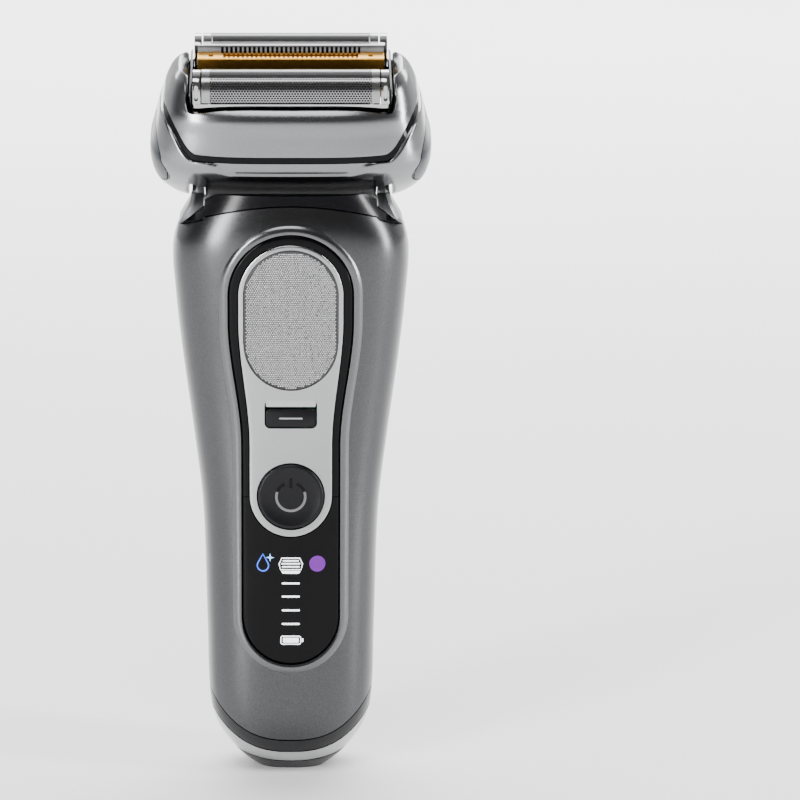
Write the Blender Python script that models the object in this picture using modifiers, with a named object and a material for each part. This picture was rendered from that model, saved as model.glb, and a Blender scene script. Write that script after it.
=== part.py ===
"""Foil shaver: a handle with its shells, console and electronics, and a tilting head with a cassette.

Frame: metres, +Z up the handle, the front face looks along -Y, the origin is the middle of the flat foot.
Head pieces are modelled about the tilt axis, with +Z up the head, and hang on one tilted empty.
"""

import math

import bmesh
import bpy
from mathutils import Vector

MM = 0.001
GAP = 0.3

# Driving dimensions, in millimetres.
PIVOT = (0.0, 1.0, 143.0)
HEAD_TILT = math.radians(19)
WALL = 2.0
SHELL_SPLIT = 2.0
CRADLE_RADIUS = 16.3
ARM_INNER = 19.2
ARM_OUTER = 21.7
ARM_TIP = 5.2
PIN_RADIUS = 1.8
TOP_OF_NECK = 132.0

# Yoke shoulder stations: height, outer half width, depth in front of the pivot, depth behind it.
SHOULDER = (
    (124, 25.3, 12.4, 8.0),
    (126.6, 23.9, 12.0, 6.5),
    (129.2, 22.4, 9.4, 6.0),
    (131.5, 21.7, 7.0, 6.0),
)

# Handle stations: height, half width, front face, back face.
HANDLE = (
    (0, 7.8, -7.0, 7.0),
    (2, 10.3, -9.4, 8.8),
    (5, 13.2, -12.0, 10.8),
    (10, 16.6, -14.4, 12.6),
    (16, 18.2, -15.3, 13.3),
    (33, 18.8, -15.0, 14.0),
    (60, 19.7, -13.6, 15.0),
    (77, 21.7, -13.3, 16.0),
    (94, 24.0, -14.0, 16.4),
    (108, 25.5, -15.4, 15.8),
    (120, 26.1, -16.5, 15.0),
    (126, 24.2, -16.4, 14.6),
    (TOP_OF_NECK + 1, 19.6, -14.6, 13.6),
)
HANDLE_POWER = 2.7

# Head stations about the tilt axis: height, half width, half depth.
HEAD = (
    (-13.2, 22.0, 3.0),
    (-12, 25.2, 6.5),
    (-8, 29.2, 11.3),
    (-4, 30.7, 15.2),
    (0, 31.1, 18.0),
    (2, 30.6, 18.2),
    (4, 30.1, 17.9),
    (8, 29.1, 17.0),
    (12, 27.9, 16.1),
    (14, 27.2, 14.1),
    (16.5, 26.0, 11.5),
    (18, 24.6, 9.0),
)
HEAD_POWER = 3.5
HEAD_WALL = 1.8
WINDOW_HALF = (22.4, 13.8)
BUTTON_MIDDLE = -1.0
BUTTON_HALF = (12.5, 7.0)

# Cassette, about the tilt axis.
CASSETTE_HALF = (22.1, 13.3)
CASSETTE_FLOOR = 8.4
CASSETTE_SIDE_TOP = 15.5
FOIL_OFFSET = 9.0
FOIL_RADIUS = 4.2
FOIL_CENTRE = 16.3
FOIL_SKIN = 0.4
FOIL_FOOT = 14.8
FOIL_HALF = 19.3
CUTTER_HALF = 17.2
TRIM_HALF = 20.4

# Console outlines on the front face: lower half width, upper half width, lower arc, upper arc.
LIP = (12.9, 15.8, 37.4, 110.0)
BORDER = (10.7, 13.6, 37.4, 110.0)
PLATE = (9.2, 11.6, 64.6, 110.0)
PAD = (10.3, 10.4, 99.0, 110.0)
SEAM = 64.4
BUTTON_CENTRE = 64.6
BUTTON_RADIUS = 7.6
LOCK_HALF = 5.8
LOCK_LOW = 80.0
LOCK_HIGH = 86.4

SOCKET_HALF = (4.5, 2.5)
BATTERY_RADIUS = 6.8
BATTERY_SPAN = (26.0, 74.0)
BATTERY_DEPTH = 2.9
TRIMMER_HALF = 8.7

MATERIALS = {
    "gunmetal": ((0.20, 0.21, 0.23), 0.9, 0.35),
    "black_satin": ((0.02, 0.02, 0.022), 0.0, 0.4),
    "black_gloss": ((0.008, 0.008, 0.01), 0.0, 0.06),
    "satin_silver": ((0.62, 0.63, 0.64), 1.0, 0.3),
    "chrome": ((0.85, 0.86, 0.87), 1.0, 0.08),
    "steel": ((0.7, 0.7, 0.71), 1.0, 0.22),
    "gold": ((0.86, 0.66, 0.30), 1.0, 0.22),
    "dark_grey": ((0.07, 0.07, 0.075), 0.0, 0.45),
    "rubber": ((0.015, 0.015, 0.015), 0.0, 0.8),
    "board": ((0.02, 0.16, 0.07), 0.0, 0.5),
    "copper": ((0.75, 0.35, 0.18), 1.0, 0.35),
    "cell": ((0.10, 0.28, 0.20), 0.0, 0.35),
    "brass": ((0.75, 0.58, 0.25), 1.0, 0.3),
}


# ---------------------------------------------------------------- tools


def clear_scene():
    for obj in list(bpy.data.objects):
        bpy.data.objects.remove(obj)


def new_collection(name):
    collection = bpy.data.collections.new(name)
    bpy.context.scene.collection.children.link(collection)
    return collection


def material(name):
    found = bpy.data.materials.get(name)
    if found:
        return found
    colour, metallic, roughness = MATERIALS[name]
    made = bpy.data.materials.new(name)
    made.use_nodes = True
    shader = made.node_tree.nodes["Principled BSDF"]
    shader.inputs["Base Color"].default_value = (*colour, 1)
    shader.inputs["Metallic"].default_value = metallic
    shader.inputs["Roughness"].default_value = roughness
    return made


def from_bmesh(name, bm):
    """A helper object, scaled from millimetres to metres and hidden until it is finished as a part."""
    bmesh.ops.recalc_face_normals(bm, faces=bm.faces)
    bmesh.ops.scale(bm, vec=(MM, MM, MM), verts=bm.verts)
    mesh = bpy.data.meshes.new(name)
    bm.to_mesh(mesh)
    bm.free()
    obj = bpy.data.objects.new(name, mesh)
    CUTTERS.objects.link(obj)
    obj.hide_render = True
    obj.display_type = "WIRE"
    return obj


def box(low, high):
    bm = bmesh.new()
    bmesh.ops.create_cube(bm, size=1)
    size = [b - a for a, b in zip(low, high)]
    middle = [(a + b) / 2 for a, b in zip(low, high)]
    bmesh.ops.scale(bm, vec=size, verts=bm.verts)
    bmesh.ops.translate(bm, vec=middle, verts=bm.verts)
    return from_bmesh("box", bm)


def slab(half_x, half_y, low, high, x=0.0, y=0.0):
    """A box centred on (x, y) between two heights."""
    return box((x - half_x, y - half_y, low), (x + half_x, y + half_y, high))


def prism(outline, axis, low, high):
    """An outline of points in the plane across an axis, extruded along that axis between low and high."""
    place = "xyz".index(axis)
    bm = bmesh.new()
    verts = []
    for point in outline:
        corner = list(point)
        corner.insert(place, low)
        verts.append(bm.verts.new(corner))
    made = bmesh.ops.extrude_face_region(bm, geom=[bm.faces.new(verts)])
    moved = [item for item in made["geom"] if isinstance(item, bmesh.types.BMVert)]
    step = [0, 0, 0]
    step[place] = high - low
    bmesh.ops.translate(bm, vec=step, verts=moved)
    return from_bmesh("prism", bm)


def rod(start, end, radius, sides=20):
    start, end = Vector(start), Vector(end)
    bm = bmesh.new()
    bmesh.ops.create_cone(
        bm,
        cap_ends=True,
        segments=sides,
        radius1=radius,
        radius2=radius,
        depth=(end - start).length,
    )
    turn = (end - start).to_track_quat("Z", "Y").to_matrix()
    bmesh.ops.rotate(bm, matrix=turn, verts=bm.verts)
    bmesh.ops.translate(bm, vec=(start + end) / 2, verts=bm.verts)
    return from_bmesh("rod", bm)


def loft(rings):
    """A closed body through rings that have the same number of points."""
    bm = bmesh.new()
    loops = [[bm.verts.new(point) for point in ring] for ring in rings]
    count = len(rings[0])
    for lower, upper in zip(loops, loops[1:]):
        for i in range(count):
            j = (i + 1) % count
            bm.faces.new((lower[i], lower[j], upper[j], upper[i]))
    bm.faces.new(loops[0])
    bm.faces.new(loops[-1])
    return from_bmesh("loft", bm)


def boolean(target, other, operation):
    """Applies one Boolean to the target and removes the other object."""
    modifier = target.modifiers.new(operation.lower(), "BOOLEAN")
    modifier.operation = operation
    modifier.object = other
    modifier.solver = "EXACT"
    graph = bpy.context.evaluated_depsgraph_get()
    mesh = bpy.data.meshes.new_from_object(target.evaluated_get(graph))
    target.modifiers.clear()
    target.data = mesh
    bpy.data.objects.remove(other)
    return target


def cut(target, *others):
    for other in others:
        boolean(target, other, "DIFFERENCE")
    return target


def keep(target, *others):
    for other in others:
        boolean(target, other, "INTERSECT")
    return target


def join(target, *others):
    for other in others:
        boolean(target, other, "UNION")
    return target


def finish(obj, name, look, origin=(0, 0, 0), parent=None):
    """Turns a helper into a named part with its material, its origin and its parent."""
    bm = bmesh.new()
    bm.from_mesh(obj.data)
    bmesh.ops.remove_doubles(bm, verts=bm.verts, dist=2e-6)
    bmesh.ops.dissolve_degenerate(bm, edges=bm.edges, dist=2e-6)
    shift = Vector(origin) * MM
    bmesh.ops.translate(bm, vec=-shift, verts=bm.verts)
    bm.to_mesh(obj.data)
    bm.free()
    obj.data.shade_smooth()
    obj.data.set_sharp_from_angle(angle=math.radians(35))
    obj.data.materials.clear()
    obj.data.materials.append(material(look))
    obj.location = shift
    obj.parent = parent
    obj.name = name
    obj.hide_render = False
    obj.display_type = "TEXTURED"
    CUTTERS.objects.unlink(obj)
    PARTS.objects.link(obj)
    return obj


# ---------------------------------------------------------------- curves


def smoothstep(t):
    t = min(max(t, 0.0), 1.0)
    return t * t * (3 - 2 * t)


def along(stations, height):
    """The stations' values at a height, on a smooth curve through them."""
    last = len(stations) - 1
    height = min(max(height, stations[0][0]), stations[last][0])
    i = next(k for k in range(last) if height <= stations[k + 1][0])
    low, high = stations[i], stations[i + 1]
    before, after = stations[max(i - 1, 0)], stations[min(i + 2, last)]
    span = high[0] - low[0]
    t = (height - low[0]) / span
    values = []
    for k in range(1, len(low)):
        start_slope = (high[k] - before[k]) / (high[0] - before[0])
        end_slope = (after[k] - low[k]) / (after[0] - low[0])
        values.append(
            (2 * t**3 - 3 * t**2 + 1) * low[k]
            + (t**3 - 2 * t**2 + t) * span * start_slope
            + (3 * t**2 - 2 * t**3) * high[k]
            + (t**3 - t**2) * span * end_slope
        )
    return values


def superellipse(half_x, front, back, height, power, count):
    middle, half_y = (front + back) / 2, (back - front) / 2
    ring = []
    for i in range(count):
        angle = math.tau * (i + 0.5) / count
        c, s = math.cos(angle), math.sin(angle)
        x = half_x * math.copysign(abs(c) ** (2 / power), c)
        y = half_y * math.copysign(abs(s) ** (2 / power), s)
        ring.append((x, middle + y, height))
    return ring


def heights(stations, most, low, high):
    """The stations' heights between two limits, with more where they lie over `most` apart."""
    found = [low]
    for station in list(stations) + [(high,)]:
        height = min(max(station[0], low), high)
        gap = height - found[-1]
        if gap < 0.05:
            continue
        parts = max(1, math.ceil(gap / most))
        start = found[-1]
        found += [start + gap * (k + 1) / parts for k in range(parts)]
    return found


def handle_envelope(inset=0.0, count=36, most=9.0, low=0.0, high=TOP_OF_NECK + 1):
    rings = []
    for height in heights(HANDLE, most, low, high):
        half, front, back = along(HANDLE, height)
        rings.append(
            superellipse(
                half - inset, front + inset, back - inset, height, HANDLE_POWER, count
            )
        )
    return loft(rings)


def head_envelope(inset=0.0, count=40, most=3.0, low=HEAD[0][0], high=HEAD[-1][0]):
    rings = []
    for height in heights(HEAD, most, low, high):
        half, depth = along(HEAD, height)
        rings.append(
            superellipse(
                half - inset, inset - depth, depth - inset, height, HEAD_POWER, count
            )
        )
    return loft(rings)


def arc(centre, radius, start, end, steps):
    """Points of an arc, angles in degrees from the first axis."""
    points = []
    for i in range(steps + 1):
        angle = math.radians(start + (end - start) * i / steps)
        x = centre[0] + radius * math.cos(angle)
        points.append((x, centre[1] + radius * math.sin(angle)))
    return points


def rounded(half_x, low, high, radius, steps=4, middle=0.0):
    """A rectangle outline with round corners, between two heights."""
    corners = (
        (middle + half_x - radius, high - radius, 0),
        (middle - half_x + radius, high - radius, 90),
        (middle - half_x + radius, low + radius, 180),
        (middle + half_x - radius, low + radius, 270),
    )
    points = []
    for x, z, start in corners:
        points += arc((x, z), radius, start, start + 90, steps)
    return points


def console_outline(low_half, high_half, low_centre, high_centre):
    """A long outline with a round top and bottom that narrows between heights 104 and 76."""
    sides = []
    for i in range(1, 10):
        z = low_centre + (high_centre - low_centre) * i / 10
        grown = smoothstep((z - 76) / 28) * (high_half - low_half)
        sides.append((low_half + grown, z))
    top = arc((0, high_centre), high_half, 0, 180, 16)
    bottom = arc((0, low_centre), low_half, 180, 360, 16)
    left = [(-x, z) for x, z in reversed(sides)]
    return sides + top + left + bottom


def under(curve, half, low, steps=28):
    """The outline under a height curve, down to a low line."""
    points = []
    for i in range(steps + 1):
        x = half - 2 * half * i / steps
        points.append((x, curve(abs(x))))
    return points + [(-half, low), (half, low)]


def shell_foot(x):
    return 8.3 + 10.2 * (x / 18.2) ** 2.6


def ring_top(x):
    return 5.2 + 9.5 * (x / 18.0) ** 2.6


def cap_top(x):
    return 2.3 + 2.4 * (x / 12.5) ** 2


def shell_top(x):
    """The top edge of the shells: an arc between the arms, and a slope under each arm."""
    if x <= ARM_INNER - GAP:
        return 129.7 - 2.8 * (x / 19) ** 2
    return 126.4 - 0.35 * (x - 19)


def arm_foot(x):
    """The sloped lower edge of the yoke arms, with the neck band showing between it and the shells."""
    return 129.0 - 0.71 * (x - ARM_INNER)


def neck_top(x):
    """The top edge of the neck band: level between the arms, and close under each arm beyond them."""
    return TOP_OF_NECK if x <= ARM_INNER - GAP else arm_foot(x) - GAP


def parting(x):
    """The head's parting line, which sweeps up round the corners."""
    return 3.0 + 8.0 * smoothstep((x - 21) / 8)


def raised(curve, by):
    return lambda x: curve(x) + by


# ---------------------------------------------------------------- handle


def face_layer(panel, proud, depth):
    """Trims a panel to the front face, from `proud` above it to `depth` below it."""
    keep(panel, handle_envelope(-proud))
    return cut(panel, handle_envelope(depth, 28, 12))


def skin(outline, proud, depth):
    return face_layer(prism(outline, "y", -22, 0), proud, depth)


def shell_half(front):
    """The front or rear half of the handle's wall."""
    body = handle_envelope()
    cut(body, handle_envelope(WALL, 28, 12, 3, TOP_OF_NECK + 0.5))
    span = (-30, SHELL_SPLIT) if front else (SHELL_SPLIT + GAP, 30)
    keep(body, prism(under(shell_top, 28, -5), "y", *span))
    return cut(body, prism(under(raised(shell_foot, GAP), 24, -8), "y", -30, 30))


def make_shells():
    front = shell_half(True)
    cut(front, prism(console_outline(*LIP), "y", -30, -8))
    finish(front, "front_shell", "gunmetal")
    rear = shell_half(False)
    cut(rear, slab(TRIMMER_HALF + 0.6, 10, 68, 140, y=22))
    finish(rear, "rear_shell", "gunmetal")


def cradle():
    """The space that the head's round underside turns in."""
    _, y, z = PIVOT
    return rod((-40, y, z), (40, y, z), CRADLE_RADIUS, 48)


def neck_outline():
    """The neck band from the front: from the shells' top edge up to its own."""
    inner, tip, steps = ARM_INNER - GAP, 25.2, 10
    side = [tip + (inner + 0.01 - tip) * i / 4 for i in range(5)]
    top = [(x, neck_top(x)) for x in side] + [(inner, TOP_OF_NECK)]
    bottom = [(x, shell_top(x) + GAP) for x in side[:-1]]
    across = [inner * (1 - i / steps) for i in range(steps)]
    bottom += [(x, shell_top(x) + GAP) for x in across]
    left_top = [(-x, z) for x, z in reversed(top)]
    left_bottom = [(-x, z) for x, z in bottom]
    return top + left_top + left_bottom + [(0, shell_top(0) + GAP)] + list(reversed(bottom))


def make_neck():
    half = ARM_INNER - GAP
    seat = keep(handle_envelope(WALL + GAP, 28, 12), slab(half, 30, 124.2, 131))
    collar = keep(handle_envelope(0, 36, 9, 100), prism(neck_outline(), "y", -30, 30))
    finish(cut(join(seat, collar), cradle()), "neck_band", "black_satin")


def make_arm(side):
    """One arm of the yoke: a shoulder on the shells and a round-ended arm up to the pivot."""
    _, pivot_y, pivot_z = PIVOT
    edge = 0.9
    rings = []
    for z, outer, front, back in SHOULDER + ((pivot_z, ARM_OUTER, ARM_TIP, ARM_TIP),):
        ring = [(ARM_INNER, -front), (outer - edge, -front), (outer, -front + 2 * edge)]
        ring += [(outer, back - 2 * edge), (outer - edge, back), (ARM_INNER, back)]
        rings.append([(x * side, y + pivot_y, z) for x, y in ring])
    arm = loft(rings)
    ends = sorted((ARM_INNER * side, ARM_OUTER * side))
    tip = rod((ends[0], pivot_y, pivot_z), (ends[1], pivot_y, pivot_z), ARM_TIP, 24)
    join(arm, tip)
    cut(arm, prism(under(arm_foot, 28, 110), "y", -30, 30))
    bore = (10 * side, pivot_y, pivot_z), (30 * side, pivot_y, pivot_z)
    cut(arm, rod(*bore, PIN_RADIUS + 0.2))
    name = "left" if side < 0 else "right"
    finish(arm, "yoke_" + name, "satin_silver")
    pin = rod((15.8 * side, pivot_y, pivot_z), (25.0 * side, pivot_y, pivot_z), PIN_RADIUS)
    finish(pin, "pivot_pin_" + name, "steel")


def make_console():
    lip = skin(console_outline(*LIP), 0.4, 1.8)
    inner = (BORDER[0] + 0.15, BORDER[1] + 0.15, BORDER[2], BORDER[3])
    cut(lip, prism(console_outline(*inner), "y", -30, 5))
    keep(lip, prism(console_outline(LIP[0] - 0.2, LIP[1] - 0.2, LIP[2], LIP[3]), "y", -30, 5))
    finish(lip, "console_bezel", "gunmetal")

    hole = (PLATE[0] + 0.15, PLATE[1] + 0.15, PLATE[2], PLATE[3])
    border = keep(prism(console_outline(*BORDER), "y", -22, 0), slab(20, 40, SEAM + 0.1, 140))
    border = face_layer(cut(border, prism(console_outline(*hole), "y", -30, 5)), 0.1, 1.7)
    finish(border, "plate_border", "black_gloss")
    lens = keep(prism(console_outline(*BORDER), "y", -22, 0), slab(20, 40, 0, SEAM - 0.1))
    lens = face_layer(cut(lens, prism(console_outline(*hole), "y", -30, 5)), 0.1, 1.7)
    finish(lens, "display_lens", "black_gloss")


def button_well(extra):
    return rod((0, -30, BUTTON_CENTRE), (0, 5, BUTTON_CENTRE), BUTTON_RADIUS + extra, 40)


def make_grip():
    pocket = console_outline(PAD[0] + 0.15, PAD[1] + 0.15, PAD[2], PAD[3])
    pad_space = prism(pocket, "y", -30, 5)
    lock_space = prism(rounded(LOCK_HALF, LOCK_LOW, LOCK_HIGH, 0.8), "y", -30, 5)
    plate = skin(console_outline(*PLATE), 0.2, 1.7)
    cut(plate, pad_space, lock_space, button_well(0))
    finish(plate, "grip_plate", "satin_silver")
    finish(skin(console_outline(*PAD), 0.3, 1.5), "grip_pad", "steel")


def make_switches():
    front = along(HANDLE, BUTTON_CENTRE)[1]
    button = rod((0, front - 0.7, BUTTON_CENTRE), (0, -11.4, BUTTON_CENTRE), BUTTON_RADIUS - 0.25, 40)
    finish(button, "power_button", "black_satin", (0, front, BUTTON_CENTRE))
    seal = rod((0, -10.5, BUTTON_CENTRE), (0, -10.0, BUTTON_CENTRE), 6.4, 28)
    cut(seal, rod((0, -12, BUTTON_CENTRE), (0, -9, BUTTON_CENTRE), 3.6, 28))
    finish(seal, "button_seal", "rubber")
    switch = box((-3, -9.6, BUTTON_CENTRE - 3), (3, -7.4, BUTTON_CENTRE + 3))
    finish(switch, "power_switch", "black_satin")
    tab = prism(rounded(LOCK_HALF - 0.3, LOCK_LOW + 0.3, LOCK_HIGH - 2.1, 0.6), "y", -13.6, -12.5)
    finish(tab, "lock_slider", "dark_grey", (0, -13, LOCK_LOW + 2))
    bar = prism(rounded(LOCK_HALF - 0.3, LOCK_HIGH - 1.8, LOCK_HIGH - 0.3, 0.3), "y", -12.1, -11.4)
    finish(bar, "lock_bar", "chrome")


def make_base():
    def between(top, bottom, name, look):
        body = cut(handle_envelope(), handle_envelope(WALL, 28, 12, 1.5, 60))
        keep(body, prism(under(top, 24, -6), "y", -30, 30))
        cut(body, prism(under(raised(bottom, GAP), 24, -8), "y", -30, 30))
        finish(body, name, look)

    between(shell_foot, ring_top, "base_band", "dark_grey")
    between(ring_top, cap_top, "base_ring", "chrome")
    cap = keep(handle_envelope(), prism(under(cap_top, 24, -6), "y", -30, 30))
    cut(cap, slab(SOCKET_HALF[0] + 0.2, SOCKET_HALF[1] + 0.2, -5, 10))
    finish(cap, "end_cap", "dark_grey")

    socket = slab(6, 4, 3.6, 11)
    cut(socket, slab(*SOCKET_HALF, 0, 8.6))
    for side, name in ((-1, "left"), (1, "right")):
        x = 2.2 * side
        cut(socket, rod((x, 0, 5), (x, 0, 10.2), 0.85, 12))
        finish(rod((x, 0, 6.2), (x, 0, 9.9), 0.55, 12), "socket_pin_" + name, "brass")
    finish(socket, "charging_socket", "black_satin")

    bpy.ops.mesh.primitive_torus_add(
        major_radius=8.3 * MM,
        minor_radius=0.7 * MM,
        major_segments=28,
        minor_segments=8,
        location=(0, 0, 11.5 * MM),
    )
    ring = bpy.context.active_object
    ring.name = "cap_seal"
    ring.data.shade_smooth()
    ring.data.materials.append(material("rubber"))
    for collection in list(ring.users_collection):
        collection.objects.unlink(ring)
    PARTS.objects.link(ring)


SCREWS = {
    "screw_low_left": (-13.0, 32.0),
    "screw_low_right": (13.0, 32.0),
    "screw_high_left": (-13.0, 96.0),
    "screw_high_right": (13.0, 96.0),
}


def make_screw(name, x, z):
    """A pan-head screw with a turned profile, its axis along Y."""
    profile = ((0, 5.0), (1.9, 4.8), (1.9, 3.6), (1.0, 3.6), (1.0, -1.2), (0, -1.6))
    mesh = bpy.data.meshes.new(name)
    points = [(r * MM, 0, h * MM) for r, h in profile]
    mesh.from_pydata(points, [(i, i + 1) for i in range(len(points) - 1)], [])
    obj = bpy.data.objects.new(name, mesh)
    PARTS.objects.link(obj)
    turn = obj.modifiers.new("turn", "SCREW")
    turn.steps = turn.render_steps = 16
    turn.use_merge_vertices = True
    turn.merge_threshold = 0.00001
    mesh.materials.append(material("steel"))
    obj.rotation_euler.x = -math.pi / 2
    obj.location = (x * MM, -7.8 * MM, z * MM)


def make_inside():
    chassis = prism(rounded(15.0, 20, 118, 3), "y", -5.5, -4.4)
    for x, z in SCREWS.values():
        cut(chassis, rod((x, -10, z), (x, 0, z), 1.3, 16))
    finish(chassis, "chassis", "black_satin")
    for name, place in SCREWS.items():
        make_screw(name, *place)
    low, high = BATTERY_SPAN
    cell = rod((0, BATTERY_DEPTH, low), (0, BATTERY_DEPTH, high), BATTERY_RADIUS, 28)
    finish(cell, "battery_cell", "cell")
    for foot, name in ((low - 0.9, "minus"), (high + GAP, "plus")):
        tab = slab(3, 4, foot, foot + 0.6, y=BATTERY_DEPTH)
        finish(tab, "battery_tab_" + name, "steel")
    finish(prism(rounded(10.5, 22, 112, 1), "y", -7.1, -5.9), "main_board", "board")
    finish(prism(rounded(8.6, 29, 52, 1), "y", -10.8, -9.8), "display_board", "board")
    finish(box((-3, -3.9, 100), (3, -3.5, 124)), "flex_cable", "copper")


def make_rear_trimmer():
    """The pop-up trimmer on the back: a track, and a slider that carries the comb and its blade."""
    finish(box((-9, 10.4, 68.6), (9, 11.7, 123.5)), "trimmer_track", "black_satin")
    slider = prism(rounded(TRIMMER_HALF, 72, 110, 2), "y", 12.1, 16.9)
    cut(slider, box((-6.5, 12.6, 100), (6.5, 15.0, 112)))
    for z in (76, 79, 82, 85):
        cut(slider, box((-6, 16.4, z), (6, 18, z + 1.2)))
    finish(slider, "trimmer_slider", "dark_grey")
    comb = box((-8.2, 15.4, 110.4), (8.2, 16.3, 123.5))
    for i in range(15):
        x = -7.35 + 1.05 * i
        cut(comb, box((x - 0.22, 15, 121.6), (x + 0.22, 17, 125)))
    finish(comb, "trimmer_comb", "steel")
    finish(box((-7, 14.3, 112), (7, 15.0, 123.0)), "trimmer_blade", "steel")


# ---------------------------------------------------------------- head


def head_wall():
    """The head's hollow wall, before it is divided at the parting line."""
    return cut(head_envelope(), head_envelope(HEAD_WALL, 32, 4, -11.4, 13))


def below_parting(by):
    return prism(under(raised(parting, by), 40, -20, 40), "y", -30, 30)


def window():
    outline = rounded(WINDOW_HALF[0], -WINDOW_HALF[1], WINDOW_HALF[1], 3, 5)
    return prism(outline, "z", 6, 25)


def button_prism(side, extra, inner):
    """The release button's ellipse, run out sideways from an inner distance."""
    half_y, half_z = BUTTON_HALF
    outline = []
    for i in range(28):
        angle = math.tau * i / 28
        y = (half_y + extra) * math.cos(angle)
        outline.append((y, BUTTON_MIDDLE + (half_z + extra) * math.sin(angle)))
    return prism(outline, "x", *sorted((inner * side, 40 * side)))


def make_head_shells(head):
    frame = cut(head_wall(), below_parting(0.8), window())
    finish(frame, "head_frame", "satin_silver", parent=head)
    gasket = cut(head_envelope(0.6), head_envelope(HEAD_WALL + 0.4, 32, 4, -11, 17.9))
    keep(gasket, below_parting(0.5))
    finish(cut(gasket, below_parting(-0.5)), "head_gap_ring", "black_satin", parent=head)
    lower = keep(head_wall(), below_parting(-0.8))
    for side in (-1, 1):
        ends = sorted((18.8 * side, 22.5 * side))
        cut(lower, box((ends[0], -12.4, -16), (ends[1], 12.4, -4)))
        cut(lower, button_prism(side, GAP, 23))
    finish(lower, "head_lower_shell", "satin_silver", parent=head)
    for side, name in ((-1, "left"), (1, "right")):
        button = keep(button_prism(side, 0, 27.2), head_envelope())
        finish(button, "release_button_" + name, "black_satin", (29 * side, 0, BUTTON_MIDDLE), head)


def make_motor(head):
    housing = slab(18.3, 8.6, -7.4, 1.6)
    cut(housing, slab(17.0, 7.6, -6.4, 5))
    cut(housing, rod((-20, 0, 0), (20, 0, 0), PIN_RADIUS + 0.3))
    finish(housing, "motor_housing", "black_satin", parent=head)
    half_leg, half_core, floor, top = 4.0, 13.5, -4.3, 0.6
    outline = [(-half_core, -6.0), (half_core, -6.0), (half_core, top), (10.5, top)]
    outline += [(10.5, floor), (half_leg, floor), (half_leg, top), (-half_leg, top)]
    outline += [(-half_leg, floor), (-10.5, floor), (-10.5, top), (-half_core, top)]
    finish(prism(outline, "y", -4.4, 4.4), "motor_core", "steel", parent=head)
    coil = cut(slab(9.8, 7.2, -4.0, -0.3), slab(4.4, 4.8, -6, 3))
    finish(coil, "motor_coil", "copper", parent=head)
    for side, name in ((-1, "front"), (1, "rear")):
        bar = slab(12, 4.4, 2.2, 3.8, y=5.4 * side)
        join(bar, slab(1.6, 0.9, 3.0, 11.1, y=FOIL_OFFSET * side))
        finish(bar, name + "_armature", "steel", parent=head)
    seal = prism(rounded(20.6, -13.2, 13.2, 3, 4), "z", 6.2, 6.8)
    for side in (-1, 1):
        cut(seal, slab(3.4, 1.6, 5, 8, y=FOIL_OFFSET * side))
    finish(seal, "drive_seal", "rubber", parent=head)


def make_cassette(head):
    half_x, half_y = CASSETTE_HALF
    outline = rounded(half_x, -half_y, half_y, 2.7, 5)
    frame = prism(outline, "z", CASSETTE_FLOOR, CASSETTE_SIDE_TOP)
    cut(frame, slab(21.6, 12.7, CASSETTE_FLOOR + 1, 20))
    cut(frame, slab(21.6, 20, 10.8, 20))
    for side in (-1, 1):
        cut(frame, slab(5.0, 2.7, 0, 12, y=FOIL_OFFSET * side))
    finish(frame, "cassette_frame", "black_satin", parent=head)


def arch(middle, radius, foot):
    """A round-topped outline with straight legs, centred on a foil."""
    top = arc((middle, FOIL_CENTRE), radius, 0, 180, 14)
    return top + [(middle - radius, foot), (middle + radius, foot)]


def make_shaving_unit(head, side, name):
    """One foil with its carrier and the cutter that runs under it."""
    middle = FOIL_OFFSET * side
    foil = prism(arch(middle, FOIL_RADIUS, FOIL_FOOT), "x", -FOIL_HALF, FOIL_HALF)
    cut(foil, prism(arch(middle, FOIL_RADIUS - FOIL_SKIN, 12), "x", -30, 30))
    finish(foil, name + "_foil", "steel", parent=head)

    carrier = prism(arch(middle, FOIL_RADIUS - 0.4, 14.4), "x", -21.2, 21.2)
    cut(carrier, slab(FOIL_HALF + GAP, 6, 14.5, 25, y=middle))
    skirt = rounded(21.3, middle - FOIL_RADIUS, middle + FOIL_RADIUS, 0.8, 3)
    join(carrier, prism(skirt, "z", 13.6, 14.5))
    join(carrier, slab(21.2, 3.3, 12.2, 13.9, y=middle))
    cut(carrier, slab(18.9, 3.8, 13.9, 20, y=middle))
    cut(carrier, slab(6.0, 2.7, 10, 14.5, y=middle))
    finish(carrier, name + "_foil_carrier", "chrome", parent=head)

    cutter = prism(arch(middle, FOIL_RADIUS - FOIL_SKIN - GAP, 14.2), "x", -CUTTER_HALF, CUTTER_HALF)
    join(cutter, slab(3.2, 2.2, 9.9, 15, y=middle))
    cut(cutter, slab(1.9, 1.2, 8, 14.0, y=middle))
    finish(cutter, name + "_cutter", "steel", parent=head)


def make_centre_trimmer(head):
    comb = prism([(0, 12.6), (3.1, 12.6), (3.1, 19), (0, 19)], "x", -TRIM_HALF, TRIM_HALF)
    cut(comb, box((-18.5, 0.8, 10), (18.5, 2.3, 18.2)))
    finish(comb, "lift_trimmer_comb", "gold", parent=head)
    blade = box((-16, 1.15, 12.9), (16, 1.95, 17.8))
    finish(blade, "lift_trimmer_blade", "steel", parent=head)
    outline = [(3.4, 12.4), (4.45, 12.4), (4.45, 20.3), (4.1, 20.3), (3.4, 18.6)]
    guard = prism(outline, "x", -TRIM_HALF, TRIM_HALF)
    for i in range(19):
        x = -14.85 + 1.65 * i
        cut(guard, box((x - 0.4, 3, 17.8), (x + 0.4, 6, 19.8)))
    finish(guard, "skin_guard", "steel", parent=head)


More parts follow.
